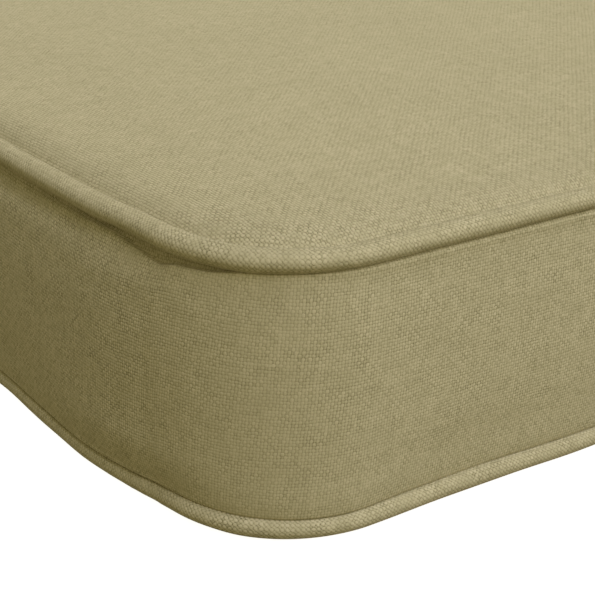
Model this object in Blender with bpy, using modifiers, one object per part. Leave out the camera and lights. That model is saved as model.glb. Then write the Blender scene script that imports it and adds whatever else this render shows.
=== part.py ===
"""Boxed bench cushion with covered piping along both of its seams.

Metres, +Z up. The cushion lies flat on the surface z = 0 with the origin at the
middle of its underside. Its long side runs along X. Four pieces: the filled
cushion with its two panels, the boxing strip round its side, and two pipings.
"""
import math

import bmesh
import bpy

# Driving sizes
LENGTH = 1.219              # between the piping's centre lines along X
DEPTH = 0.457               # between the piping's centre lines along Y
SEAM_HEIGHT = 0.076         # between the two pipings' centre lines
CORNER_RADIUS = 0.040       # of the piping's centre line, in plan
PIPING_DIAMETER = 0.0058
CLOTH = 0.0015              # boxing strip with its seam allowance pressed behind it
GAP = 0.0003                # between pieces that touch
LONG_DRAW_IN = 0.004        # how far the middle of a long side pulls in
SHORT_DRAW_IN = 0.003

PIPING_RADIUS = PIPING_DIAMETER / 2
LOW_SEAM_Z = PIPING_RADIUS + GAP
HIGH_SEAM_Z = LOW_SEAM_Z + SEAM_HEIGHT
SEAT_RADIUS = PIPING_RADIUS + 0.0004        # of the boxing's edge round a piping

# Steps round the outline
CORNER_STEPS = 12
LONG_STEPS = 30
SHORT_STEPS = 16
CROWDING = 0.55             # 0 spaces a side's stations evenly, 1 crowds them to its ends
PIPING_RESOLUTION = 4       # twelve sides

# How the sewn seams wander near a corner. The place is measured along the seam
# from the middle of the corner, positive towards the long side.
SEAM_SWAY = (
    # place, high seam out, high seam up, low seam out
    (-0.190, 0.0, 0.0, 0.0),
    (-0.125, -0.0003, 0.0002, -0.0010),
    (-0.098, 0.0, 0.0002, 0.0008),
    (-0.070, 0.0001, 0.0003, 0.0020),
    (-0.048, -0.0002, 0.0009, 0.0004),
    (-0.034, -0.0005, 0.0012, -0.0019),
    (-0.020, -0.0007, 0.0011, -0.0023),
    (-0.002, 0.0001, 0.0007, -0.0003),
    (0.028, 0.0002, 0.0005, 0.0001),
    (0.068, 0.0001, 0.0003, -0.0005),
    (0.112, -0.0003, 0.0, 0.0009),
    (0.180, 0.0, 0.0, 0.0),
)

# Where the boxing sinks in below the high piping, and where it laps over the low
# one, near a corner.
BOXING_SWAY = (
    # place, hollow share, lap share
    (-0.300, 0.15, 0.10),
    (-0.130, 0.45, 0.80),
    (-0.068, 0.75, 0.95),
    (-0.045, 0.90, 0.35),
    (-0.028, 1.00, 0.15),
    (-0.010, 0.70, 0.20),
    (0.010, 0.20, 0.25),
    (0.040, 0.00, 0.00),
    (0.300, 0.15, 0.10),
)

# The four corners: strength of the two tables above, and which way they run round.
CORNERS = (
    # name, seam strength, boxing strength, direction
    ("front_left", 1.0, 1.0, 1),
    ("front_right", 0.7, 0.8, -1),
    ("back_right", 0.6, 0.9, 1),
    ("back_left", 0.8, 0.7, -1),
)

# The boxing between its two sewn edges: how far up between the seams, how far it
# stands out from the line between the pipings' centre lines, and what a full
# hollow and a full lap add to that.
BOXING_ROWS = (
    # name, share of the height, out, hollow adds, lap adds
    ("low", 0.10, 0.0014, 0.0, 0.0014),
    ("under_middle", 0.27, 0.0021, 0.0, 0.0012),
    ("middle", 0.50, 0.0025, 0.0002, 0.0007),
    ("over_middle", 0.71, 0.0022, 0.0, 0.0),
    ("high", 0.85, 0.0018, -0.0010, 0.0),
    ("fold", 0.915, 0.0014, -0.0024, 0.0),
)

# Where the boxing's lower edge lies on the low piping, as an angle up from its
# outermost point, and its upper edge below the high piping.
PLAIN_LAP_ANGLE = 92.0
FULL_LAP_ANGLE = 70.0
UPPER_EDGE_OUT = 0.0009
UPPER_EDGE_HOLLOW = -0.0026
UPPER_EDGE_DROP = 0.0033

# The cushion behind and beside a piping, from the piping's centre line.
SEAM_ROWS = (
    # name, inset, height towards the panel
    ("boxing_side", 0.0022, -0.0031),
    ("behind_piping", 0.0033, 0.0),
    ("panel_edge", 0.0022, 0.0025),
)
HOLLOW_SEAM_INSET = 0.0016  # added behind the high piping by a full hollow
FLAT_INSET = 0.0090         # where the underside lies flat

# The top panel's rings: a quick roll off at the seam, then a slow rise.
PANEL_INSETS = (0.0038, 0.0062, 0.0095, 0.0140, 0.0200, 0.0280, 0.0400, 0.0600, 0.0900, 0.1350, 0.1850)
PANEL_CORNER_RADIUS = 0.030 # the least a panel ring's corner tightens to
EDGE_ROLL = 0.0070
EDGE_ROLL_REACH = 0.0140
SLOW_RISE = 0.0050
SLOW_RISE_REACH = 0.0900

COLLECTION_NAME = "bench_cushion"


def eased(rows, column, place):
    """Read a column of a table at a place, easing from each row to the next."""
    if place <= rows[0][0]:
        return rows[0][column]
    for before, after in zip(rows, rows[1:]):
        if place <= after[0]:
            share = (place - before[0]) / (after[0] - before[0])
            share = (1 - math.cos(math.pi * share)) / 2
            return before[column] + share * (after[column] - before[column])
    return rows[-1][column]


def crowded(share):
    """Move an even share along a side towards the nearer end."""
    smooth = (1 - math.cos(math.pi * share)) / 2
    return share + CROWDING * (smooth - share)


def outline_stations():
    """Stations round the outline, from the front left corner anticlockwise.

    Each is (corner or side, its number, share along it). Corners and the sides
    after them are numbered 0 to 3, seen from above.
    """
    stations = []
    for number in range(4):
        for step in range(CORNER_STEPS):
            stations.append(("corner", number, step / CORNER_STEPS))
        steps = LONG_STEPS if number % 2 == 0 else SHORT_STEPS
        for step in range(steps):
            stations.append(("side", number, crowded(step / steps)))
    return stations


def outline_point(station, inset):
    """Plan position and outward direction of a station on an inset outline."""
    kind, number, share = station
    radius = max(CORNER_RADIUS - inset, PANEL_CORNER_RADIUS)
    centres = []
    for x_sign, y_sign in ((-1, -1), (1, -1), (1, 1), (-1, 1)):
        centre_x = x_sign * (LENGTH / 2 - inset - radius)
        centre_y = y_sign * (DEPTH / 2 - inset - radius)
        centres.append((centre_x, centre_y))
    start_angle = math.pi + number * math.pi / 2
    if kind == "corner":
        angle = start_angle + share * math.pi / 2
        centre_x, centre_y = centres[number]
    else:
        angle = start_angle + math.pi / 2
        here = centres[number]
        there = centres[(number + 1) % 4]
        centre_x = here[0] + share * (there[0] - here[0])
        centre_y = here[1] + share * (there[1] - here[1])
    out_x, out_y = math.cos(angle), math.sin(angle)
    return centre_x + radius * out_x, centre_y + radius * out_y, out_x, out_y


def places_from_corners(station):
    """Each corner that holds or bounds a station, and how far along the seam it is."""
    kind, number, share = station
    quarter = CORNER_RADIUS * math.pi / 2
    if kind == "corner":
        return [(number, (share - 0.5) * quarter)]
    side = (LENGTH if number % 2 == 0 else DEPTH) - 2 * CORNER_RADIUS
    after = share * side + quarter / 2
    before = -(1 - share) * side - quarter / 2
    return [(number, after), ((number + 1) % 4, before)]


def read_seam(station, column):
    total = 0.0
    for number, place in places_from_corners(station):
        name, seam_strength, boxing_strength, direction = CORNERS[number]
        total += seam_strength * eased(SEAM_SWAY, column, place * direction)
    return total


def read_boxing(station, column):
    total = 0.0
    for number, place in places_from_corners(station):
        name, seam_strength, boxing_strength, direction = CORNERS[number]
        total += boxing_strength * eased(BOXING_SWAY, column, place * direction)
    return min(1.0, total)


def draw_in(station):
    """How far a side pulls in between its corners."""
    kind, number, share = station
    if kind == "corner":
        return 0.0
    depth = LONG_DRAW_IN if number % 2 == 0 else SHORT_DRAW_IN
    return depth * math.sin(math.pi * share) ** 2


def high_seam(station):
    """How far out the high seam stands from the outline, and its height."""
    return read_seam(station, 1) - draw_in(station), HIGH_SEAM_Z + read_seam(station, 2)


def low_seam(station):
    return read_seam(station, 3) - draw_in(station), LOW_SEAM_Z


def between_seams(station, share):
    """Out and height of the line between the seams, at a share of the way up."""
    low_out, low_z = low_seam(station)
    high_out, high_z = high_seam(station)
    return low_out + share * (high_out - low_out), low_z + share * (high_z - low_z)


def place_on(station, inset, out, height):
    x, y, out_x, out_y = outline_point(station, inset)
    return x + out * out_x, y + out * out_y, height


def boxing_row(stations, row, behind):
    """Ring of the boxing's face at a row, or some way behind it."""
    name, share, plain_out, hollow_adds, lap_adds = row
    ring = []
    for station in stations:
        out, height = between_seams(station, share)
        out += plain_out + read_boxing(station, 1) * hollow_adds + read_boxing(station, 2) * lap_adds
        ring.append(place_on(station, 0.0, out - behind, height))
    return ring


def boxing_lower_edge(stations):
    """Ring of the boxing's edge where it rests against the low piping."""
    ring = []
    for station in stations:
        out, height = low_seam(station)
        lap = read_boxing(station, 2)
        angle = math.radians(PLAIN_LAP_ANGLE + lap * (FULL_LAP_ANGLE - PLAIN_LAP_ANGLE))
        out += SEAT_RADIUS * math.cos(angle) + CLOTH
        ring.append(place_on(station, 0.0, out, height + SEAT_RADIUS * math.sin(angle)))
    return ring


def boxing_upper_edge(stations):
    """Ring of the boxing's edge below the high piping."""
    ring = []
    for station in stations:
        out, height = high_seam(station)
        out += UPPER_EDGE_OUT + read_boxing(station, 1) * UPPER_EDGE_HOLLOW
        ring.append(place_on(station, 0.0, out, height - UPPER_EDGE_DROP))
    return ring


def seam_ring(stations, row, seam, towards_panel, hollow_inset):
    """Ring of the cushion close behind a piping, which follows its seam."""
    name, inset, height = row
    ring = []
    for station in stations:
        out, seam_z = seam(station)
        out -= hollow_inset * read_boxing(station, 1)
        ring.append(place_on(station, inset, out, seam_z + towards_panel * height))
    return ring


def panel_ring(stations, inset):
    """Ring of the crowned top panel, which follows its seam less and less inwards."""
    name, edge_inset, edge_rise = SEAM_ROWS[-1]
    from_edge = inset - edge_inset
    follow = math.exp(-from_edge / EDGE_ROLL_REACH)
    crown = EDGE_ROLL * (1 - follow) + SLOW_RISE * (1 - math.exp(-from_edge / SLOW_RISE_REACH))
    ring = []
    for station in stations:
        out, seam_z = high_seam(station)
        height = HIGH_SEAM_Z + follow * (seam_z - HIGH_SEAM_Z) + edge_rise + crown
        ring.append(place_on(station, inset, follow * out, height))
    return ring


def make_material(name, colour):
    material = bpy.data.materials.new(name)
    material.use_nodes = True
    shader = material.node_tree.nodes["Principled BSDF"]
    shader.inputs["Base Color"].default_value = (*colour, 1.0)
    shader.inputs["Roughness"].default_value = 0.9
    shader.inputs["Metallic"].default_value = 0.0
    return material


def add_loft(name, rings, close_ends, material, collection):
    """Join closed rings of points into one object, lowest ring first."""
    maker = bmesh.new()
    levels = [[maker.verts.new(point) for point in ring] for ring in rings]
    for lower, upper in zip(levels, levels[1:]):
        for index in range(len(lower)):
            after = (index + 1) % len(lower)
            maker.faces.new((lower[index], lower[after], upper[after], upper[index]))
    if close_ends:
        maker.faces.new(list(reversed(levels[0])))
        maker.faces.new(levels[-1])
    mesh = bpy.data.meshes.new(name)
    maker.to_mesh(mesh)
    maker.free()
    mesh.shade_smooth()
    mesh.materials.append(material)
    thing = bpy.data.objects.new(name, mesh)
    collection.objects.link(thing)
    return thing


def make_cushion(stations, collection):
    """The filled cushion: flat underside, drawn-in side and crowned top panel."""
    boxing_side, behind_piping, panel_edge = SEAM_ROWS
    rings = [[place_on(station, FLAT_INSET, 0.0, 0.0) for station in stations]]
    for row in (panel_edge, behind_piping, boxing_side):
        rings.append(seam_ring(stations, row, low_seam, -1, 0.0))
    for row in BOXING_ROWS:
        rings.append(boxing_row(stations, row, CLOTH + GAP))
    for row in (boxing_side, behind_piping):
        rings.append(seam_ring(stations, row, high_seam, 1, HOLLOW_SEAM_INSET))
    rings.append(seam_ring(stations, panel_edge, high_seam, 1, 0.0))
    for inset in PANEL_INSETS:
        rings.append(panel_ring(stations, inset))
    return add_loft("cushion", rings, True, make_material("panel_cloth", (0.42, 0.37, 0.22)), collection)


def make_boxing(stations, collection):
    """The boxing strip, a band of cloth wrapped round the cushion's side."""
    rings = [boxing_lower_edge(stations)]
    for row in BOXING_ROWS:
        rings.append(boxing_row(stations, row, 0.0))
    rings.append(boxing_upper_edge(stations))
    strip = add_loft("boxing", rings, False, make_material("boxing_cloth", (0.40, 0.35, 0.20)), collection)
    thickness = strip.modifiers.new("cloth", "SOLIDIFY")
    thickness.thickness = CLOTH
    thickness.offset = -1.0
    thickness.use_even_offset = True
    return strip


def make_piping(name, stations, seam, collection):
    """A round covered cord sewn all the way round in one seam."""
    curve = bpy.data.curves.new(name, "CURVE")
    curve.dimensions = "3D"
    curve.twist_mode = "Z_UP"
    curve.bevel_depth = PIPING_RADIUS
    curve.bevel_resolution = PIPING_RESOLUTION
    spline = curve.splines.new("POLY")
    spline.points.add(len(stations) - 1)
    for point, station in zip(spline.points, stations):
        out, height = seam(station)
        point.co = (*place_on(station, 0.0, out, height), 1.0)
    spline.use_cyclic_u = True
    curve.materials.append(make_material(name + "_cloth", (0.43, 0.38, 0.23)))
    cord = bpy.data.objects.new(name, curve)
    collection.objects.link(cord)
    return cord


def main():
    for thing in list(bpy.data.objects):
        bpy.data.objects.remove(thing, do_unlink=True)
    collection = bpy.data.collections.new(COLLECTION_NAME)
    bpy.context.scene.collection.children.link(collection)
    stations = outline_stations()
    make_cushion(stations, collection)
    make_boxing(stations, collection)
    make_piping("piping_low", stations, low_seam, collection)
    make_piping("piping_high", stations, high_seam, collection)


main()
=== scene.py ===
"""Looks for a boxed bench cushion with covered piping round both of its seams.

Four soft pieces stand for the four solids: the filled cushion with its two panels,
the boxing strip round its side, and the two pipings. They follow the same named sizes
as the solids with many more stations, and a cloth simulation swells the filled piece
a little. The camera stands close to the front left corner.
"""
import math

import bmesh
import bpy
import numpy as np
from mathutils import Matrix, Vector
from mathutils.kdtree import KDTree


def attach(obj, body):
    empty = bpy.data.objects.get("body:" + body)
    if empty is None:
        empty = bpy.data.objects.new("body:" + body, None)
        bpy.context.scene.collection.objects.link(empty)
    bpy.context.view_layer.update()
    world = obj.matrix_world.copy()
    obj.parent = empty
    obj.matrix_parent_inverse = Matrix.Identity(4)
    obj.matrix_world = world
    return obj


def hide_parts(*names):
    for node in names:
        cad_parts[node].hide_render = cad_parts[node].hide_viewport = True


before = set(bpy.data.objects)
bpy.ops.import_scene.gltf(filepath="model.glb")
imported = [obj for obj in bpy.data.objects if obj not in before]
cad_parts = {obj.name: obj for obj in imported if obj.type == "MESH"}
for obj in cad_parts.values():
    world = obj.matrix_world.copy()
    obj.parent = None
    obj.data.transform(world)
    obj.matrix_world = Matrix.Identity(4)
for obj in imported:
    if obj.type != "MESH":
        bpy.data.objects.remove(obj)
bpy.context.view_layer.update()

# Driving sizes, the same as the solids'
LENGTH = 1.219              # between the piping's centre lines along X
DEPTH = 0.457               # between the piping's centre lines along Y
SEAM_HEIGHT = 0.076         # between the two pipings' centre lines
CORNER_RADIUS = 0.040
PIPING_RADIUS = 0.0029
LOW_SEAM_Z = 0.0032
HIGH_SEAM_Z = LOW_SEAM_Z + SEAM_HEIGHT
LONG_DRAW_IN = 0.004
SHORT_DRAW_IN = 0.003
STRIP_CLOTH = 0.0010        # thickness of the boxing strip that shows
BEHIND_STRIP = 0.0018       # from the boxing's face to the filled piece behind it

# Steps round the outline
CORNER_STEPS = 64
LONG_STEPS = 250
SHORT_STEPS = 110
CROWDING = 0.75             # how far a side's steps crowd towards its corners, 0 to 1
PIPING_SIDES = 24
JOIN_SHARE = 0.69           # of the stations, where each cloth's join lies: the back's middle

# The high piping fills out where it is slack: its radius grows, and for each part of
# that growth it moves out and settles by these shares
FULLER_CORD = 0.00042
CORD_MOVES_OUT = 0.2
CORD_SETTLES = 1.3
SQUARER_CORD = 0.060        # of the radius: how far its section is a rounded triangle there
SQUARE_CORNER = 10.0        # degrees up from its outermost point, one corner of that triangle
CORD_WOBBLE = (
    # how far the radius wavers, waves round the outline, phase
    (0.00006, 41, 0.0),
    (0.00005, 97, 1.3),
)

# How far the seams leave the plain outline near a corner; places run along the
# outline from the corner's middle, and minus is the short side of the first corner
SEAM_SWAY = (
    # place, high seam out, high seam up, low seam out, low seam up
    (-0.190, 0.0, 0.0, 0.0, 0.0),
    (-0.125, -0.0003, 0.0002, -0.0005, 0.0),
    (-0.105, 0.0, 0.0002, 0.0004, 0.0),
    (-0.087, 0.0, 0.0002, 0.0012, 0.0),
    (-0.070, 0.0001, 0.0003, 0.0018, 0.0),
    (-0.055, 0.0, 0.0007, 0.0013, 0.0002),
    (-0.045, -0.0003, 0.0010, 0.0004, 0.0003),
    (-0.040, -0.0004, 0.0011, 0.0001, 0.0007),
    (-0.031, -0.0005, 0.0011, -0.0011, 0.0009),
    (-0.026, -0.0006, 0.0010, -0.0010, 0.0012),
    (-0.015, -0.0005, 0.0007, -0.0002, 0.0011),
    (-0.002, 0.0001, 0.0004, 0.0004, 0.0006),
    (0.028, 0.0002, 0.0004, 0.0001, 0.0),
    (0.068, 0.0001, 0.0003, -0.0006, 0.0),
    (0.112, -0.0003, 0.0, 0.0006, 0.0),
    (0.180, 0.0, 0.0, 0.0, 0.0),
)

# How the boxing changes near a corner
BOXING_SWAY = (
    # place, hollow share, lap share, fold lower by, fold softer by, bulge share, cord slack
    (-0.300, 0.00, 0.00, 0.0, 0.0, 0.0, 0.0),
    (-0.130, 0.50, 0.74, 0.0, 0.0, 0.15, 0.60),
    (-0.068, 0.90, 0.70, -0.0012, -0.6, 0.50, 0.80),
    (-0.056, 0.97, 0.56, -0.0016, -1.3, 0.80, 0.85),
    (-0.047, 1.00, 0.38, -0.0006, -1.6, 1.00, 0.85),
    (-0.0375, 0.98, 0.28, 0.0002, -1.8, 0.95, 0.80),
    (-0.031, 0.97, 0.20, 0.0008, -1.9, 0.82, 0.75),
    (-0.0235, 0.95, 0.09, -0.0011, -1.9, 0.60, 0.70),
    (-0.013, 0.87, 0.06, -0.0020, -1.9, 0.35, 0.65),
    (-0.0025, 0.55, 0.10, -0.0036, -1.9, 0.12, 0.65),
    (0.009, 0.25, 0.22, -0.0036, -1.9, 0.0, 0.60),
    (0.040, 0.00, 0.05, -0.0036, -1.9, 0.0, 0.35),
    (0.080, 0.00, 0.00, -0.0010, -0.5, 0.0, 0.15),
    (0.300, 0.00, 0.00, 0.0, 0.0, 0.0, 0.0),
)
CORD_SLACK = 0.25           # how fuller the high piping is everywhere, as a share
FOLD_DEPTH = 0.0074         # of the fold's edge below the high seam
FOLD_SOFTNESS = 2.4         # times the height over which a crisp fold turns in

OUT_OF_REACH = 1e3          # a place beyond both tables, where a corner changes nothing
CORNERS = (
    # name, seam strength, boxing strength, direction
    ("front_left", 1.0, 1.0, 1),
    ("front_right", 0.7, 0.8, -1),
    ("back_right", 0.6, 0.9, 1),
    ("back_left", 0.8, 0.7, -1),
)

# The boxing's face between its two sewn edges: share of the height between the
# seams, lift from there, how far it stands out from the line between the seams,
# what a full lap and a full bulge add to that, and the rows of mesh up to the next one
BOXING_FACE = (
    # name, share, lift, out, lap adds, bulge adds, steps
    ("tucked_low", 0.0, 0.0014, -0.0012, 0.0010, 0.0, 2),
    ("on_piping", 0.0, 0.0, 0.0, 0.0, 0.0, 3),
    ("over_piping", 0.0, 0.0030, 0.0006, 0.0020, 0.0004, 3),
    ("above_piping", 0.0, 0.0048, 0.0011, 0.0022, 0.0007, 4),
    ("low", 0.10, 0.0015, 0.0016, 0.0024, 0.0018, 4),
    ("rising", 0.16, 0.0020, 0.0018, 0.0022, 0.0029, 4),
    ("under_middle", 0.27, 0.0, 0.0021, 0.0023, 0.0026, 8),
    ("middle", 0.50, 0.0, 0.0025, 0.0020, 0.0026, 8),
    ("over_middle", 0.71, 0.0, 0.0022, 0.0022, 0.0021, 6),
    ("high", 0.84, 0.0, 0.0018, 0.0015, 0.0013, 5),
    ("fold_below", 1.0, -0.0079, 0.0016, 0.0, 0.0, 5),
    ("fold_edge", 1.0, -0.0062, 0.0016, 0.0, 0.0, 5),
    ("fold_inside", 1.0, -0.0044, 0.0017, 0.0, 0.0, 4),
    ("under_piping", 1.0, -0.0034, 0.0008, 0.0, 0.0, 3),
    ("tucked_high", 1.0, -0.0022, -0.0010, 0.0, 0.0, 0),
)
# Where the hollow below the high piping is full, its rows lie here instead
HOLLOW_FACE = {
    # name: (out, height over the fold's edge a unit of softness, or None for its own lift)
    "fold_below": (0.00130, -0.0008),
    "fold_edge": (0.00075, 0.0),
    "fold_inside": (-0.00090, 0.0006),
    "under_piping": (-0.00120, None),
    "tucked_high": (-0.00210, None),
}
HOLLOW_SETTLES = 0.3        # share of a full hollow from which its rows have their own heights
PLAIN_CONTACT = 81.0        # where the face meets the low piping, degrees up from its outermost point
FULL_LAP_CONTACT = 57.0     # the same under a full lap

# The filled piece beside and behind a piping, from the piping's centre line
PANEL_CONTACT = 124.0       # degrees up from the piping's outermost point
CONTACT_REACHES = (0.45, 1.0)   # of the piping's radius, the rows up to where the panel leaves it
SEAM_INSET = 0.0022
SEAM_RISE = 0.0025
BEHIND_PIPING = 0.0033
HOLLOW_SEAM_INSET = 0.0016  # further in where the hollow is full
BOXING_SIDE_DROP = 0.0031
CLEAR_OF_LOW_SEAM = 0.0050  # the boxing's rows that the side follows lie this far off
CLEAR_OF_HIGH_SEAM = 0.0065

# Underside, from the middle outwards
UNDERSIDE_INSETS = (0.060, 0.045, 0.030, 0.018, 0.012, 0.009)
UNDERSIDE_EDGE_INSET = 0.0050
UNDERSIDE_EDGE_RISE = 0.00022

# Top panel: its rise inwards from the seam
EDGE_ROLL = 0.0046
EDGE_ROLL_REACH = 0.0055
SLOW_RISE = 0.0062
SLOW_RISE_REACH = 0.1100
LIP = 0.00025               # steep first rise of the panel beside the piping
LIP_REACH = 0.0004
PANEL_CORNER_RADIUS = 0.030 # the least that an inner ring's corner tightens to
PANEL_INSETS = (
    0.0024, 0.0027, 0.0031, 0.0036, 0.0043, 0.0052, 0.0064, 0.0078, 0.0095, 0.0115,
    0.0140, 0.0168, 0.0200, 0.0238, 0.0280, 0.0335, 0.0400, 0.0460, 0.0520, 0.0600,
)
SPINE_FROM = 0.060          # inset from which the rings draw in to the middle line
SPINE_STEPS = 14
WELD = 0.00002              # points closer than this along the middle line become one

# Cloth simulation that swells the filled piece
SWELL_VOXEL = 0.006
SWELL_PRESSURE = 4.0
SWELL_FRAMES = 20
SWELL_CAP = 0.0006
SWELL_REACH = 0.015         # radius over which the moves are averaged
UNDERSIDE_HELD = 0.006      # height up to which the cloth is held
SEAM_HELD = 0.010           # how near to the high seam it is held

# Cloth
THREAD_ALONG = 0.00091      # from thread to thread
THREAD_UP = 0.00093
CLOTH_COLOUR = (0.434, 0.381, 0.220)
BIAS = math.radians(45.0)   # the piping's covers are cut across the threads
# contrast is how strongly the shades differ, lean how far the threads that run up
# slant, twist how far the crossings draw out along one slant, shade the brightness,
# and checker how much darker, as painted shade, the threads that run up are than the ones that run
# along
CLOTHS = (
    # name, seed, contrast, lean, twist, shade, checker, bias
    ("panel_weave", 0.0, 1.0, 0.0, 0.0, 1.0, 0.12, 0.0),
    ("boxing_weave", 3.0, 1.15, 0.08, 0.09, 1.02, 0.08, 0.0),
    # the low piping, the same cloth as the high one, is drawn darker as painted shade
    ("piping_low_painted_shade_weave", 6.0, 1.35, 0.0, 0.0, 0.965, 0.08, BIAS),
    ("piping_high_weave", 8.0, 1.30, 0.0, 0.0, 1.0, 0.08, BIAS),
)
# How plainly the threads show, in their bumps and in their painted shade and highlight: more by a long
# edge of the panel and on the ends of the boxing, less round a corner
PANEL_EDGE_RELIEF = 0.35
PANEL_EDGE_REACH = 0.080
END_RELIEF = 1.45
SIDE_RELIEF = 1.02
CORNER_RELIEF = 0.74
CORNER_RELIEF_REACH = 0.030

# Threads, in parts of the pitch
DRIFTS = (
    # noise scale, how far it moves a thread
    (70.0, 0.9),
    (600.0, 0.5),
)
SLUB_ACROSS = 3.17          # noise steps from one thread to the next, and along a thread
SLUB_ALONG = 0.11
SLUB_RANGE = (0.3, 0.7)     # values of the noise from the thinnest place to the thickest
WARP_WIDTH = (0.80, 1.10)
WEFT_WIDTH = (0.95, 1.30)
OVER_UNDER = 0.45           # how far a crossing lifts a thread or sinks it
WEFT_PROUD = 0.10           # how much higher than the middle the weft lies, and the warp lower
THREAD_BLEND = 0.15
TURNED_SEED = 5.0           # added to a cloth's seed so that its noises differ
WEFT_SEED = 9.0
FIBRE_SEED = 2.0

# Tone of the cloth, painted shade and highlight of the weave among it: what each part of the weave
# adds to 1
HEIGHT_RANGE = (0.25, 1.30)
# painted shade between threads and painted highlight on top of one
PAINTED_THREAD_SHADE_AND_HIGHLIGHT = (-0.34, 0.12) # between threads, on top of one
CROSSING_TONE = 0.10        # each crossing a little different
FIBRE_TONE = 0.16
FIBRE_RANGE = (0.25, 0.75)
FIBRE_SCALE = 2600.0
FIBRE_STRETCH = 1.5
# painted highlight along the middle of the threads that run up, painted shade between them
PAINTED_RIDGE_LIGHT_AND_SHADE = 0.05           # the threads that run up, lighter along their middle
LIGHTEST_TONE = 0.16        # the light end is softened towards this
WORN_SCALE = 150.0
WORN = (0.60, 1.45)         # contrast from the more worn patches to the crisper ones
SLUB_TONE = (0.94, 1.06)
CLOUD_SCALE = 24.0
CLOUD_TONE = (0.985, 1.015)
PATCH_RANGE = (0.3, 0.7)    # values of the noise that the worn patches and clouds use
PATCH_DETAIL = 2.0
# the darker end of the tone, the painted shade between threads among it, turns warmer as well
WARMER_SHADE = 1.25         # power of the tone in blue: what is darker is warmer too
BUMP_STRENGTH = 0.55
BUMP_DISTANCE = 0.00022
ROUGHNESS = 0.92
SPECULAR = 0.25
SHEEN = 0.08
SHEEN_ROUGHNESS = 0.45
SHEEN_TINT = (0.95, 0.92, 0.80, 1.0)

# Soft studio lights: name, azimuth, elevation, colour (which also holds the strength)
LIGHTS = (
    ("key", -90.0, 60.0, (0.476, 0.501, 0.646)),
    ("front_left", -120.0, 35.0, (0.200, 0.194, 0.134)),
    ("right", -30.0, 10.0, (0.254, 0.258, 0.258)),
    ("behind", 60.0, 10.0, (0.610, 0.585, 0.447)),
)
LIGHT_SPREAD = 45.0         # degrees across
AMBIENT = (0.241, 0.214, 0.115)
FLOOR_SIZE = 60.0
FLOOR_Z = -0.0002
FLOOR_COLOUR = (0.95, 0.95, 0.95, 1.0)
FLOOR_ROUGHNESS = 0.9
FLOOR_GLOW = 0.90

# Camera, fitted to the photograph
HEADING = 0.930983515
PITCH = 0.382619736
ROLL = 0.015777309
FOCAL_PIXELS = 1722.87
IMAGE_WIDTH = 595
SENSOR = 36.0
CAMERA_FROM_CORNER = (-0.22025651, -0.316942145)
CAMERA_HEIGHT = 0.231125
NEAREST_SEEN = 0.01


def hermite(places, values, at):
    """Read values at places along a table with a smooth curve that never overshoots."""
    places = np.asarray(places, float)
    values = np.asarray(values, float)
    rises = np.diff(values) / np.diff(places)
    slopes = np.zeros(len(values))
    before, after = rises[:-1], rises[1:]
    same = before * after > 0
    total = np.where(same, before + after, 1.0)
    slopes[1:-1] = np.where(same, 2 * before * after / total, 0.0)
    index = np.clip(np.searchsorted(places, at, side="right") - 1, 0, len(places) - 2)
    step = places[index + 1] - places[index]
    t = np.clip((at - places[index]) / step, 0, 1)
    start = (1 + 2 * t) * (1 - t) ** 2 * values[index]
    end = t * t * (3 - 2 * t) * values[index + 1]
    start_slope = t * (1 - t) ** 2 * step * slopes[index]
    end_slope = t * t * (t - 1) * step * slopes[index + 1]
    return start + end + start_slope + end_slope


def spline_rows(controls, knots, steps):
    """Smooth rows through control rows, each an array with one value a station."""
    controls = [np.asarray(c, float) for c in controls]
    last = len(controls) - 1
    slopes = []
    for k in range(len(controls)):
        if k == 0:
            slopes.append((controls[1] - controls[0]) / (knots[1] - knots[0]))
        elif k == last:
            slopes.append((controls[k] - controls[k - 1]) / (knots[k] - knots[k - 1]))
        else:
            before = knots[k] - knots[k - 1]
            after = knots[k + 1] - knots[k]
            rise_in = (controls[k] - controls[k - 1]) / before
            rise_out = (controls[k + 1] - controls[k]) / after
            slopes.append((rise_in * after + rise_out * before) / (before + after))
    rows = []
    for k in range(last):
        width = knots[k + 1] - knots[k]
        for step in range(steps[k]):
            t = step / steps[k]
            rows.append(
                (1 + 2 * t) * (1 - t) ** 2 * controls[k]
                + t * t * (3 - 2 * t) * controls[k + 1]
                + t * (1 - t) ** 2 * width * slopes[k]
                + t * t * (t - 1) * width * slopes[k + 1]
            )
    rows.append(controls[last])
    return np.array(rows)


def crowded(share):
    """A share of a side's length, moved towards the nearer end of the side."""
    smooth = (1 - math.cos(math.pi * share)) / 2
    return share + CROWDING * (smooth - share)


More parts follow.
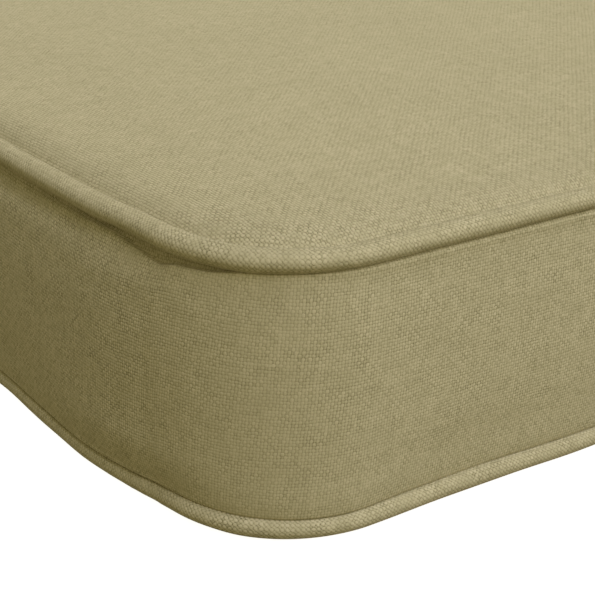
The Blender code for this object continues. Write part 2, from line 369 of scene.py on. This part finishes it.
class Outline:
    """Stations round the cushion's outline, from the front left corner anticlockwise."""

    def __init__(self, corner_steps, long_steps, short_steps):
        numbers, shares, corner = [], [], []
        for number in range(4):
            for step in range(corner_steps):
                numbers.append(number)
                shares.append(step / corner_steps)
                corner.append(True)
            steps = long_steps if number % 2 == 0 else short_steps
            for step in range(steps):
                numbers.append(number)
                shares.append(crowded(step / steps))
                corner.append(False)
        self.number = np.array(numbers)
        self.share = np.array(shares)
        self.corner = np.array(corner)
        self.count = len(numbers)
        quarter = CORNER_RADIUS * math.pi / 2
        sides = [LENGTH - 2 * CORNER_RADIUS, DEPTH - 2 * CORNER_RADIUS] * 2
        starts = np.concatenate([[0], np.cumsum([quarter + side for side in sides])])
        side = np.array(sides)[self.number]
        turned = np.where(self.corner, self.share, 1.0)
        self.along = starts[self.number] + np.where(
            self.corner, self.share * quarter, quarter + self.share * side
        )
        self.total = starts[-1]
        self.angle = math.pi + (self.number + turned) * math.pi / 2
        self.out_x = np.cos(self.angle)
        self.out_y = np.sin(self.angle)
        own = np.where(self.corner, (self.share - 0.5) * quarter, self.share * side + quarter / 2)
        before_next = -(1 - self.share) * side - quarter / 2
        next_place = np.where(self.corner, OUT_OF_REACH, before_next)
        self.places = [(self.number, own), ((self.number + 1) % 4, next_place)]

    def at(self, inset):
        """Plan position of every station on the outline drawn in by an inset."""
        radius = max(CORNER_RADIUS - inset, PANEL_CORNER_RADIUS)
        middle_x = LENGTH / 2 - inset - radius
        middle_y = DEPTH / 2 - inset - radius
        centres = np.array([(-1, -1), (1, -1), (1, 1), (-1, 1)]) * [middle_x, middle_y]
        here = centres[self.number]
        there = centres[(self.number + 1) % 4]
        share = np.where(self.corner, 0.0, self.share)[:, None]
        centre = here + share * (there - here)
        return centre[:, 0] + radius * self.out_x, centre[:, 1] + radius * self.out_y

    def read(self, table, column, strengths):
        """A table's column at every station: what the corners on both sides of it add up to."""
        places = [row[0] for row in table]
        values = [row[column] for row in table]
        total = np.zeros(self.count)
        for numbers, place in self.places:
            strength = np.array([CORNERS[n][strengths] for n in range(4)])[numbers]
            direction = np.array([CORNERS[n][3] for n in range(4)])[numbers]
            total += strength * hermite(places, values, place * direction)
        return total

    def draw_in(self):
        """How far every station lies inside the straight line between its corners."""
        depth = np.where(self.number % 2 == 0, LONG_DRAW_IN, SHORT_DRAW_IN)
        return np.where(self.corner, 0.0, depth * np.sin(math.pi * self.share) ** 2)


class Seams:
    """The two seams and the boxing's sway at every station of an outline."""

    def __init__(self, outline):
        draw_in = outline.draw_in()
        self.high_out = outline.read(SEAM_SWAY, 1, 1) - draw_in
        self.high_z = HIGH_SEAM_Z + outline.read(SEAM_SWAY, 2, 1)
        self.low_out = outline.read(SEAM_SWAY, 3, 1) - draw_in
        self.low_z = LOW_SEAM_Z + outline.read(SEAM_SWAY, 4, 1)
        self.hollow = np.minimum(1.0, outline.read(BOXING_SWAY, 1, 2))
        self.lap = np.minimum(1.0, outline.read(BOXING_SWAY, 2, 2))
        self.fold_depth = FOLD_DEPTH + outline.read(BOXING_SWAY, 3, 2)
        self.fold_softness = FOLD_SOFTNESS + outline.read(BOXING_SWAY, 4, 2)
        self.bulge = outline.read(BOXING_SWAY, 5, 2)
        self.slack = CORD_SLACK + outline.read(BOXING_SWAY, 6, 2)


def placed(outline, inset, out, height):
    """Points of a ring: every station of an inset outline moved out, at a height."""
    x, y = outline.at(inset)
    return np.stack([x + out * outline.out_x, y + out * outline.out_y, height + 0 * x], axis=1)


def boxing_rows(seams):
    """Rows of the boxing's face from its lower edge to its upper edge."""
    outs, heights = [], []
    for name, share, lift, out, lap_adds, bulge_adds, _ in BOXING_FACE:
        line_out = seams.low_out + share * (seams.high_out - seams.low_out)
        line_z = seams.low_z + share * (seams.high_z - seams.low_z)
        if name == "on_piping":
            angle = np.radians(PLAIN_CONTACT + seams.lap * (FULL_LAP_CONTACT - PLAIN_CONTACT))
            out_here = PIPING_RADIUS * np.cos(angle)
            lift_here = PIPING_RADIUS * np.sin(angle)
        else:
            out_here = out + lap_adds * seams.lap + bulge_adds * seams.bulge
            lift_here = np.full(len(seams.lap), lift)
        if name in HOLLOW_FACE:
            hollow_out, over_edge = HOLLOW_FACE[name]
            hollow_lift = lift
            if over_edge is not None:
                hollow_lift = over_edge * seams.fold_softness - seams.fold_depth
            out_here = out_here + seams.hollow * (hollow_out - out_here)
            settled = np.minimum(1.0, seams.hollow / HOLLOW_SETTLES)
            lift_here = lift_here + settled * (hollow_lift - lift_here)
        outs.append(line_out + out_here)
        heights.append(line_z + lift_here)
    knots = [0.0]
    for k in range(1, len(outs)):
        chord = np.hypot(outs[k] - outs[k - 1], heights[k] - heights[k - 1])
        knots.append(knots[-1] + float(chord.mean()))
    steps = [row[-1] for row in BOXING_FACE]
    return spline_rows(outs, knots, steps), spline_rows(heights, knots, steps)


def grid_mesh(name, rows, uv_rows, close_rows, wrap_u=0.0, wrap_v=0.0):
    """Closed rings of points joined into a mesh, with one UV a corner of each face.

    rows and uv_rows are arrays of rows x stations x 3 and x 2. The cloth's own join,
    where u starts again, is at the back; wrap_u and wrap_v are u and v once round.
    """
    row_count, station_count = rows.shape[:2]
    points = rows.reshape(-1, 3)
    last_row = row_count if close_rows else row_count - 1
    row = np.repeat(np.arange(last_row), station_count)
    station = np.tile(np.arange(station_count), last_row)
    next_station = (station + 1) % station_count
    next_row = (row + 1) % row_count
    faces = np.stack([
        row * station_count + station,
        row * station_count + next_station,
        next_row * station_count + next_station,
        next_row * station_count + station,
    ], axis=1)
    mesh = bpy.data.meshes.new(name)
    mesh.from_pydata(points.tolist(), [], faces.tolist())
    join = int(JOIN_SHARE * station_count)
    uv_rows = uv_rows.copy()
    uv_rows[:, join:, 0] -= wrap_u
    uv = uv_rows.reshape(-1, 2)[faces.ravel()].reshape(-1, 4, 2).copy()
    uv[next_station == join, 1:3, 0] += wrap_u
    uv[next_row == 0, 2:4, 1] += wrap_v
    layer = mesh.uv_layers.new(name="cloth")
    layer.data.foreach_set("uv", uv.ravel())
    mesh.shade_smooth()
    return mesh


def add_piece(name, mesh, relief, material):
    """A piece of cloth, with how plainly its weave shows at every point."""
    attribute = mesh.attributes.new("relief", "FLOAT", "POINT")
    attribute.data.foreach_set("value", np.broadcast_to(relief, len(mesh.vertices)).astype(float))
    piece = bpy.data.objects.new(name, mesh)
    bpy.context.scene.collection.objects.link(piece)
    mesh.materials.append(material)
    return piece


def profile_lengths(points):
    """Running length up a stack of rows, from the first row, at every station."""
    steps = np.linalg.norm(np.diff(points, axis=0), axis=2)
    zero = np.zeros((1, points.shape[1]))
    return np.concatenate([zero, np.cumsum(steps, axis=0)])


def make_piping(name, outline, out, height, slack, material):
    """A covered cord: a round section carried along its seam, fuller where it is slack."""
    fuller = FULLER_CORD * slack
    centre = placed(outline, 0.0, out + CORD_MOVES_OUT * fuller, height - CORD_SETTLES * fuller)
    ahead = np.roll(centre, -1, axis=0) - np.roll(centre, 1, axis=0)
    tangent = ahead / np.linalg.norm(ahead, axis=1, keepdims=True)
    outward = np.stack([outline.out_x, outline.out_y, 0 * outline.out_x], axis=1)
    outward -= tangent * np.sum(outward * tangent, axis=1, keepdims=True)
    outward /= np.linalg.norm(outward, axis=1, keepdims=True)
    upward = np.cross(outward, tangent)
    upward *= np.sign(upward[:, 2:3])
    place = outline.along
    wobble = sum(
        far * np.sin(place * 2 * math.pi * waves / outline.total + phase)
        for far, waves, phase in CORD_WOBBLE
    )
    rows, uvs = [], []
    for side in range(PIPING_SIDES):
        angle = 2 * math.pi * side / PIPING_SIDES - math.pi
        lobed = SQUARER_CORD * math.cos(3 * (angle - math.radians(SQUARE_CORNER)))
        reach = ((PIPING_RADIUS + fuller) * (1 + lobed * slack) + wobble)[:, None]
        rows.append(centre + reach * (math.cos(angle) * outward + math.sin(angle) * upward))
        uvs.append(np.stack([place, np.full(outline.count, angle * PIPING_RADIUS)], axis=1))
    girth = 2 * math.pi * PIPING_RADIUS
    mesh = grid_mesh(name, np.array(rows), np.array(uvs), True, outline.total, girth)
    return add_piece(name, mesh, 1.0, material)


def make_boxing(outline, seams, swell, material):
    """The boxing strip: its face, and every other row again a cloth's thickness behind."""
    outs, heights = boxing_rows(seams)
    face = np.array([placed(outline, 0.0, o, z) for o, z in zip(outs, heights)])
    face += swell(face)
    rise_out = np.gradient(outs, axis=0)
    rise_z = np.gradient(heights, axis=0)
    size = np.hypot(rise_out, rise_z)
    back_out = outs - STRIP_CLOTH * rise_z / size
    back_z = heights + STRIP_CLOTH * rise_out / size
    back = np.array([placed(outline, 0.0, o, z) for o, z in zip(back_out, back_z)])
    back += swell(back)
    rows = np.concatenate([face, back[::-2]])
    up_face = profile_lengths(face)
    across = np.concatenate([up_face, up_face[::-2]])
    middle = face[len(face) // 2]
    round_it = np.linalg.norm(np.roll(middle, -1, axis=0) - middle, axis=1)
    along = np.tile(np.concatenate([[0.0], np.cumsum(round_it)[:-1]]), (len(rows), 1))
    strip_length = float(round_it.sum())
    uvs = np.stack([along, across], axis=2)
    cut_width = float(up_face[-1].mean())
    print("boxing strip: cut width", round(cut_width, 4), "length", round(strip_length, 4))
    mesh = grid_mesh("boxing_strip", rows, uvs, True, strip_length, 0.0)
    relief = np.tile(boxing_relief(outline), len(rows))
    return add_piece("boxing_strip", mesh, relief, material)


def boxing_relief(outline):
    """Relief of the boxing's weave at every station: low round a corner, high on an end."""
    side = np.where(outline.number % 2 == 0, SIDE_RELIEF, END_RELIEF)
    before = np.where(outline.number % 2 == 0, END_RELIEF, SIDE_RELIEF)
    blend = np.where(outline.corner, outline.share, 1.0)
    flat = before + blend * blend * (3 - 2 * blend) * (side - before)
    near = sum(np.exp(-((place / CORNER_RELIEF_REACH) ** 2)) for _, place in outline.places)
    return flat + near * (CORNER_RELIEF - flat)


def panel_ring(seams, inset):
    """Ring of the top panel, which follows its seam less and less inwards."""
    from_edge = max(0.0, inset - SEAM_INSET)
    follow = math.exp(-from_edge / EDGE_ROLL_REACH)
    crown = EDGE_ROLL * (1 - follow) + SLOW_RISE * (1 - math.exp(-from_edge / SLOW_RISE_REACH))
    crown += LIP * (1 - math.exp(-from_edge / LIP_REACH))
    height = HIGH_SEAM_Z + follow * (seams.high_z - HIGH_SEAM_Z) + SEAM_RISE + crown
    return follow * seams.high_out, height


def spine_ring(outline, share, height):
    """Ring part of the way from the SPINE_FROM outline to the cushion's middle line."""
    x, y = outline.at(SPINE_FROM)
    reach = (LENGTH - DEPTH) / 2
    widest = LENGTH / 2 - SPINE_FROM - PANEL_CORNER_RADIUS
    spine_x = np.clip(x * reach / widest, -reach, reach)
    return np.stack([x + share * (spine_x - x), y * (1 - share), height + 0 * x], axis=1)


def cushion_rows(outline, seams):
    """Rows of the filled cushion: flat underside, side behind the boxing, crowned top."""
    spine_shares = [k / SPINE_STEPS for k in range(1, SPINE_STEPS + 1)]
    rows = [spine_ring(outline, share, 0.0) for share in reversed(spine_shares)]
    rows += [placed(outline, inset, 0.0, 0.0) for inset in UNDERSIDE_INSETS]
    rows.append(placed(outline, UNDERSIDE_EDGE_INSET, seams.low_out, UNDERSIDE_EDGE_RISE))
    rows.append(placed(outline, SEAM_INSET, seams.low_out, seams.low_z - SEAM_RISE))
    rows.append(placed(outline, BEHIND_PIPING, seams.low_out, seams.low_z))
    rows.append(placed(outline, SEAM_INSET, seams.low_out, seams.low_z + BOXING_SIDE_DROP))
    outs, heights = boxing_rows(seams)
    above_low = (heights > LOW_SEAM_Z + CLEAR_OF_LOW_SEAM).all(axis=1)
    below_high = (heights < HIGH_SEAM_Z - CLEAR_OF_HIGH_SEAM).all(axis=1)
    clear = above_low & below_high
    for out, height in zip(outs[clear][::2], heights[clear][::2]):
        rows.append(placed(outline, 0.0, out - BEHIND_STRIP, height))
    hollow_out = seams.high_out - HOLLOW_SEAM_INSET * seams.hollow
    rows.append(placed(outline, SEAM_INSET, hollow_out, seams.high_z - BOXING_SIDE_DROP))
    rows.append(placed(outline, BEHIND_PIPING, hollow_out, seams.high_z))
    contact = math.radians(PANEL_CONTACT)
    for reach in CONTACT_REACHES:
        out = seams.high_out + reach * PIPING_RADIUS * math.cos(contact)
        height = seams.high_z + reach * PIPING_RADIUS * math.sin(contact)
        rows.append(placed(outline, 0.0, out, height))
    for inset in PANEL_INSETS:
        out, height = panel_ring(seams, inset)
        rows.append(placed(outline, inset, out, height))
    for share in spine_shares:
        inset = SPINE_FROM + share * (DEPTH / 2 - SPINE_FROM)
        _, height = panel_ring(seams, inset)
        rows.append(spine_ring(outline, share, height))
    return np.array(rows)


def laid_flat(outline, rows):
    """UVs of the filled cushion: places in plan, with the top's rolled edge laid outwards."""
    flat = rows[:, :, :2].copy()
    innermost = len(rows) - SPINE_STEPS - 1
    outermost = innermost - len(PANEL_INSETS) - len(CONTACT_REACHES) + 1
    extra = np.zeros(outline.count)
    for row in range(innermost - 1, outermost - 1, -1):
        step = rows[row] - rows[row + 1]
        extra += np.linalg.norm(step, axis=1) - np.linalg.norm(step[:, :2], axis=1)
        flat[row] += np.stack([extra * outline.out_x, extra * outline.out_y], axis=1)
    return flat


def weld_middle(mesh):
    """Join the points that meet along the cushion's middle line, above and below."""
    weld = bmesh.new()
    weld.from_mesh(mesh)
    bmesh.ops.remove_doubles(weld, verts=weld.verts, dist=WELD)
    loose = [edge for edge in weld.edges if not edge.link_faces]
    bmesh.ops.delete(weld, geom=loose, context="EDGES")
    print("cushion: open edges", sum(1 for edge in weld.edges if len(edge.link_faces) != 2))
    weld.to_mesh(mesh)
    weld.free()


def make_cushion(outline, seams, swell, material):
    """The filled cushion, with the weave plainer to see by the long edges."""
    rows = cushion_rows(outline, seams)
    rows += swell(rows)
    mesh = grid_mesh("cushion_panels", rows, laid_flat(outline, rows), False)
    weld_middle(mesh)
    from_edge = DEPTH / 2 - np.abs(mesh_points(mesh))[:, 1]
    relief = 1 + PANEL_EDGE_RELIEF * np.exp(-np.maximum(from_edge, 0) / PANEL_EDGE_REACH)
    return add_piece("cushion_panels", mesh, relief, material)


def inset_of(points):
    """How far points are inside the cushion's outline in plan."""
    past_x = np.abs(points[:, 0]) - (LENGTH / 2 - CORNER_RADIUS)
    past_y = np.abs(points[:, 1]) - (DEPTH / 2 - CORNER_RADIUS)
    outside = np.hypot(np.maximum(past_x, 0), np.maximum(past_y, 0))
    return CORNER_RADIUS - outside - np.minimum(np.maximum(past_x, past_y), 0)


def mesh_points(mesh):
    """Array of the places of a mesh's points."""
    points = np.empty(len(mesh.vertices) * 3)
    mesh.vertices.foreach_get("co", points)
    return points.reshape(-1, 3)


def evaluated_mesh(piece):
    """A new mesh of a piece as its modifiers leave it."""
    bpy.context.view_layer.update()
    graph = bpy.context.evaluated_depsgraph_get()
    return bpy.data.meshes.new_from_object(piece.evaluated_get(graph))


def simulated_swell(node):
    """Inflate a copy of the filled solid as cloth, held at its seams and its underside.

    Gives a function that reads how far the cloth moved near any points, with each
    move capped.
    """
    piece = bpy.data.objects.new("swell_trial", node.data.copy())
    bpy.context.scene.collection.objects.link(piece)
    remesh = piece.modifiers.new("remesh", "REMESH")
    remesh.mode = "VOXEL"
    remesh.voxel_size = SWELL_VOXEL
    solid = evaluated_mesh(piece)
    piece.modifiers.clear()
    piece.data = solid
    still = mesh_points(solid)
    free = (still[:, 2] > UNDERSIDE_HELD) & (
        (inset_of(still) > SEAM_HELD) | (np.abs(still[:, 2] - HIGH_SEAM_Z) > SEAM_HELD)
    )
    held = piece.vertex_groups.new(name="held")
    held.add(np.flatnonzero(~free).tolist(), 1.0, "REPLACE")
    cloth = piece.modifiers.new("cloth", "CLOTH")
    cloth.settings.use_pressure = True
    cloth.settings.uniform_pressure_force = SWELL_PRESSURE
    cloth.settings.vertex_group_mass = "held"
    cloth.settings.effector_weights.gravity = 0.0
    cloth.point_cache.frame_start = 1
    cloth.point_cache.frame_end = SWELL_FRAMES
    for moment in range(1, SWELL_FRAMES + 1):
        bpy.context.scene.frame_set(moment)
    swollen = evaluated_mesh(piece)
    moved = mesh_points(swollen) - still
    bpy.data.objects.remove(piece)
    bpy.data.meshes.remove(swollen)
    bpy.context.scene.frame_set(1)
    far = np.linalg.norm(moved, axis=1, keepdims=True)
    print("swell: points", len(still), "free", int(free.sum()), "furthest", round(float(far.max()), 5))
    moved *= SWELL_CAP * np.tanh(far / SWELL_CAP) / np.maximum(far, 1e-9)
    tree = KDTree(len(still))
    for index, point in enumerate(still):
        tree.insert(point, index)
    tree.balance()

    def swell(points):
        flat = points.reshape(-1, 3)
        total = np.zeros_like(flat)
        for index, point in enumerate(flat):
            near = tree.find_range(point, SWELL_REACH)
            if near:
                apart = np.array([item[2] for item in near]) / SWELL_REACH
                weight = (1 - apart * apart) ** 2
                total[index] = weight @ moved[[item[1] for item in near]] / max(weight.sum(), 1e-3)
        return total.reshape(points.shape)

    return swell


class Nodes:
    """Short calls that add shader nodes to one material."""

    def __init__(self, tree):
        self.tree = tree

    def link(self, value, socket):
        if isinstance(value, bpy.types.NodeSocket):
            self.tree.links.new(value, socket)
        else:
            socket.default_value = value

    def math(self, operation, first, second=None, third=None):
        node = self.tree.nodes.new("ShaderNodeMath")
        node.operation = operation
        for value, socket in zip((first, second, third), node.inputs):
            if value is not None:
                self.link(value, socket)
        return node.outputs[0]

    def join(self, x, y, z=0.0):
        node = self.tree.nodes.new("ShaderNodeCombineXYZ")
        for value, socket in zip((x, y, z), node.inputs):
            self.link(value, socket)
        return node.outputs[0]

    def noise(self, vector, scale, detail=1.0):
        node = self.tree.nodes.new("ShaderNodeTexNoise")
        node.inputs["Scale"].default_value = scale
        node.inputs["Detail"].default_value = detail
        self.link(vector, node.inputs["Vector"])
        return node.outputs[0]

    def white(self, vector):
        node = self.tree.nodes.new("ShaderNodeTexWhiteNoise")
        node.noise_dimensions = "3D"
        self.link(vector, node.inputs["Vector"])
        return node.outputs["Value"]

    def centred(self, value):
        return self.math("SUBTRACT", value, 0.5)

    def ramp(self, value, between, to):
        node = self.tree.nodes.new("ShaderNodeMapRange")
        node.inputs["From Min"].default_value = between[0]
        node.inputs["From Max"].default_value = between[1]
        node.inputs["To Min"].default_value = to[0]
        node.inputs["To Max"].default_value = to[1]
        self.link(value, node.inputs["Value"])
        return node.outputs[0]

    def either_way(self, value, between, most):
        """From -most at the low end of a range to most at its high end."""
        return self.ramp(value, between, (-most, most))


class Weave:
    """Threads of a plain weave over a cloth's UVs: their shade and their height."""

    def __init__(self, n, u, v, seed, lean):
        self.n, self.u, self.v, self.seed = n, u, v, seed
        self.flat = n.join(u, v, seed)
        leaned = n.math("MULTIPLY_ADD", v, -lean, u)
        turned = n.join(v, u, seed + TURNED_SEED)
        self.a = n.math("ADD", n.math("DIVIDE", leaned, THREAD_ALONG), self.drift(self.flat))
        self.b = n.math("ADD", n.math("DIVIDE", v, THREAD_UP), self.drift(turned))
        self.whole_a = n.math("FLOOR", self.a)
        self.whole_b = n.math("FLOOR", self.b)
        across_a = n.math("MULTIPLY", self.whole_a, SLUB_ACROSS)
        across_b = n.math("MULTIPLY", self.whole_b, SLUB_ACROSS)
        along_a = n.math("MULTIPLY", self.b, SLUB_ALONG)
        along_b = n.math("MULTIPLY", self.a, SLUB_ALONG)
        self.slub_a = n.noise(n.join(across_a, along_a, seed), 1.0)
        self.slub_b = n.noise(n.join(along_b, across_b, seed + WEFT_SEED), 1.0)
        self.height = self.threads_height()

    def drift(self, place):
        """How far threads wander from their even places."""
        total = 0.0
        for scale, reach in DRIFTS:
            noise = self.n.centred(self.n.noise(place, scale))
            total = self.n.math("MULTIPLY_ADD", noise, reach, total)
        return total

    def section(self, place, whole, wide):
        """Half round section of a thread of some width, over its own place."""
        n = self.n
        offset = n.centred(n.math("SUBTRACT", place, whole))
        ratio = n.math("DIVIDE", n.math("MULTIPLY", offset, 2.0), wide)
        inside = n.math("SUBTRACT", 1.0, n.math("MULTIPLY", ratio, ratio))
        return n.math("SQRT", n.math("MAXIMUM", inside, 0.0))

    def threads_height(self):
        """Height of the higher thread, each going over and under the other."""
        n = self.n
        sine_a = n.math("SINE", n.math("MULTIPLY", self.a, math.pi))
        sine_b = n.math("SINE", n.math("MULTIPLY", self.b, math.pi))
        over_a = n.math("MULTIPLY", n.math("SIGN", sine_a), sine_b)
        over_b = n.math("MULTIPLY", n.math("MULTIPLY", n.math("SIGN", sine_b), sine_a), -1.0)
        wide_a = n.ramp(self.slub_a, SLUB_RANGE, WARP_WIDTH)
        wide_b = n.ramp(self.slub_b, SLUB_RANGE, WEFT_WIDTH)
        warp = self.section(self.a, self.whole_a, wide_a)
        weft = self.section(self.b, self.whole_b, wide_b)
        warp = n.math("ADD", warp, n.math("MULTIPLY_ADD", over_a, OVER_UNDER, -WEFT_PROUD))
        weft = n.math("ADD", weft, n.math("MULTIPLY_ADD", over_b, OVER_UNDER, WEFT_PROUD))
        return n.math("SMOOTH_MAX", warp, weft, THREAD_BLEND)

    def checks(self, twist):
        """From -1 where a thread that runs along is on top to 1 where one that runs up is."""
        n = self.n
        across = n.math("COSINE", n.math("MULTIPLY", n.math("SUBTRACT", self.a, self.b), math.pi))
        along = n.math("COSINE", n.math("MULTIPLY", n.math("ADD", self.a, self.b), math.pi))
        return n.math("MULTIPLY_ADD", across, 0.5 - twist, n.math("MULTIPLY", along, -0.5 - twist))

    def tone(self, relief, contrast, twist, checker):
        """Painted shade between threads, painted highlight where one that runs along is on top, worn
        in patches.
        """
        n, u, v, seed = self.n, self.u, self.v, self.seed
        crossing = n.white(n.join(self.whole_a, self.whole_b, seed))
        stretched = n.join(n.math("MULTIPLY", u, FIBRE_STRETCH), v, seed + FIBRE_SEED)
        fibre = n.noise(stretched, FIBRE_SCALE)
        ridge = n.math("COSINE", n.math("MULTIPLY", self.a, 2 * math.pi))
        # painted shade low between the threads, painted highlight on their tops
        weave = n.ramp(self.height, HEIGHT_RANGE, PAINTED_THREAD_SHADE_AND_HIGHLIGHT)
        # painted highlight where a thread that runs along is on top, painted shade where one that runs
        # up is
        weave = n.math("ADD", weave, n.either_way(self.checks(twist), (-1.0, 1.0), -checker))
        weave = n.math("ADD", weave, n.either_way(crossing, (0.0, 1.0), CROSSING_TONE))
        weave = n.math("ADD", weave, n.either_way(fibre, FIBRE_RANGE, FIBRE_TONE))
        # painted highlight along the middles of the threads that run up, painted shade in the gaps
        weave = n.math("ADD", weave, n.either_way(ridge, (-1.0, 1.0), -PAINTED_RIDGE_LIGHT_AND_SHADE))
        weave = n.math("SMOOTH_MIN", weave, LIGHTEST_TONE, LIGHTEST_TONE)
        worn = n.ramp(n.noise(self.flat, WORN_SCALE, PATCH_DETAIL), PATCH_RANGE, WORN)
        strength = n.math("MULTIPLY", n.math("MULTIPLY", relief, contrast), worn)
        tone = n.math("MULTIPLY_ADD", weave, strength, 1.0)
        slubs = n.math("ADD", self.slub_a, self.slub_b)
        both = (2 * SLUB_RANGE[0], 2 * SLUB_RANGE[1])
        tone = n.math("MULTIPLY", tone, n.ramp(slubs, both, SLUB_TONE))
        cloud = n.noise(self.flat, CLOUD_SCALE, PATCH_DETAIL)
        return n.math("MULTIPLY", tone, n.ramp(cloud, PATCH_RANGE, CLOUD_TONE))


def woven_cloth(name, seed, contrast, lean, twist, shade, checker, bias):
    """Plain-woven cloth: threads over and under, uneven in width, height and shade."""
    material = bpy.data.materials.new(name)
    material.use_nodes = True
    tree = material.node_tree
    shader = tree.nodes["Principled BSDF"]
    shader.inputs["Roughness"].default_value = ROUGHNESS
    shader.inputs["Specular IOR Level"].default_value = SPECULAR
    shader.inputs["Sheen Weight"].default_value = SHEEN
    shader.inputs["Sheen Roughness"].default_value = SHEEN_ROUGHNESS
    shader.inputs["Sheen Tint"].default_value = SHEEN_TINT
    n = Nodes(tree)
    place = tree.nodes.new("ShaderNodeUVMap")
    place.uv_map = "cloth"
    split = tree.nodes.new("ShaderNodeSeparateXYZ")
    tree.links.new(place.outputs[0], split.inputs[0])
    u, v = split.outputs[0], split.outputs[1]
    if bias:
        along_it, across_it = math.cos(bias), math.sin(bias)
        u, v = (
            n.math("MULTIPLY_ADD", v, across_it, n.math("MULTIPLY", u, along_it)),
            n.math("MULTIPLY_ADD", v, along_it, n.math("MULTIPLY", u, -across_it)),
        )
    relief = tree.nodes.new("ShaderNodeAttribute")
    relief.attribute_name = "relief"
    relief = relief.outputs["Fac"]
    weave = Weave(n, u, v, seed, lean)
    tone = weave.tone(relief, contrast, twist, checker)
    tint = tree.nodes.new("ShaderNodeCombineColor")
    warm = n.math("POWER", tone, WARMER_SHADE)
    for value, socket in zip((tone, tone, warm), tint.inputs):
        tree.links.new(value, socket)
    colour = tree.nodes.new("ShaderNodeMix")
    colour.data_type = "RGBA"
    colour.blend_type = "MULTIPLY"
    colour.inputs["Factor"].default_value = 1.0
    colour.inputs["A"].default_value = (*(shade * part for part in CLOTH_COLOUR), 1.0)
    tree.links.new(tint.outputs[0], colour.inputs["B"])
    tree.links.new(colour.outputs["Result"], shader.inputs["Base Color"])
    bump = tree.nodes.new("ShaderNodeBump")
    tree.links.new(n.math("MULTIPLY", relief, BUMP_STRENGTH), bump.inputs["Strength"])
    bump.inputs["Distance"].default_value = BUMP_DISTANCE
    tree.links.new(weave.height, bump.inputs["Height"])
    tree.links.new(bump.outputs[0], shader.inputs["Normal"])
    return material


def make_floor():
    """A pale floor that glows a little and casts nothing back on the cushion."""
    bpy.ops.mesh.primitive_plane_add(size=FLOOR_SIZE, location=(0.0, 0.0, FLOOR_Z))
    floor = bpy.context.object
    floor.name = "floor"
    material = bpy.data.materials.new("floor_white")
    material.use_nodes = True
    shader = material.node_tree.nodes["Principled BSDF"]
    shader.inputs["Base Color"].default_value = FLOOR_COLOUR
    shader.inputs["Roughness"].default_value = FLOOR_ROUGHNESS
    shader.inputs["Specular IOR Level"].default_value = 0.0
    shader.inputs["Emission Color"].default_value = (1.0, 1.0, 1.0, 1.0)
    shader.inputs["Emission Strength"].default_value = FLOOR_GLOW
    floor.data.materials.append(material)
    floor.visible_diffuse = False
    floor.visible_glossy = False
    floor.visible_shadow = False


def make_lights():
    """Wide suns round the cushion and an even light from everywhere."""
    world = bpy.data.worlds.new("studio")
    bpy.context.scene.world = world
    world.use_nodes = True
    background = world.node_tree.nodes["Background"]
    background.inputs["Color"].default_value = (*AMBIENT, 1.0)
    background.inputs["Strength"].default_value = 1.0
    for name, azimuth, elevation, colour in LIGHTS:
        light = bpy.data.lights.new(name, "SUN")
        light.angle = math.radians(LIGHT_SPREAD)
        light.energy = math.pi
        light.color = colour
        lamp = bpy.data.objects.new(name, light)
        across = math.cos(math.radians(elevation))
        towards = Vector((
            across * math.cos(math.radians(azimuth)),
            across * math.sin(math.radians(azimuth)),
            math.sin(math.radians(elevation)),
        ))
        lamp.rotation_euler = towards.to_track_quat("Z", "Y").to_euler()
        bpy.context.scene.collection.objects.link(lamp)


def make_camera():
    """The camera near the front left corner, turned by heading, pitch and roll."""
    flat = Vector((math.cos(HEADING), math.sin(HEADING), 0.0))
    up = Vector((0.0, 0.0, 1.0))
    ahead = flat * math.cos(PITCH) - up * math.sin(PITCH)
    right = ahead.cross(up).normalized()
    level_up = right.cross(ahead)
    turned = right * math.cos(ROLL) + level_up * math.sin(ROLL)
    upright = level_up * math.cos(ROLL) - right * math.sin(ROLL)
    data = bpy.data.cameras.new("camera")
    data.sensor_width = SENSOR
    data.lens = FOCAL_PIXELS / IMAGE_WIDTH * SENSOR
    data.clip_start = NEAREST_SEEN
    camera = bpy.data.objects.new("camera", data)
    bpy.context.scene.collection.objects.link(camera)
    place = (
        -LENGTH / 2 + CAMERA_FROM_CORNER[0],
        -DEPTH / 2 + CAMERA_FROM_CORNER[1],
        CAMERA_HEIGHT,
    )
    camera.matrix_world = Matrix((
        (turned.x, upright.x, -ahead.x, place[0]),
        (turned.y, upright.y, -ahead.y, place[1]),
        (turned.z, upright.z, -ahead.z, place[2]),
        (0.0, 0.0, 0.0, 1.0),
    ))
    bpy.context.scene.camera = camera


def main():
    bpy.context.scene.view_settings.view_transform = "Standard"
    make_camera()
    make_lights()
    make_floor()
    outline = Outline(CORNER_STEPS, LONG_STEPS, SHORT_STEPS)
    seams = Seams(outline)
    swell = simulated_swell(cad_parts["cushion"])
    cloths = {row[0]: woven_cloth(*row) for row in CLOTHS}
    panels = make_cushion(outline, seams, swell, cloths["panel_weave"])
    strip = make_boxing(outline, seams, swell, cloths["boxing_weave"])
    taut = np.zeros(outline.count)
    low = make_piping(
        "piping_low_cover", outline, seams.low_out, seams.low_z, taut, cloths["piping_low_painted_shade_weave"]
    )
    high = make_piping(
        "piping_high_cover", outline, seams.high_out, seams.high_z, seams.slack,
        cloths["piping_high_weave"],
    )
    for piece, node, slot in (
        (panels, "cushion", "panel_cloth"),
        (strip, "boxing", "boxing_cloth"),
        (low, "piping_low", "piping_low_cloth"),
        (high, "piping_high", "piping_high_cloth"),
    ):
        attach(piece, "root")
        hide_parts(node)


main()
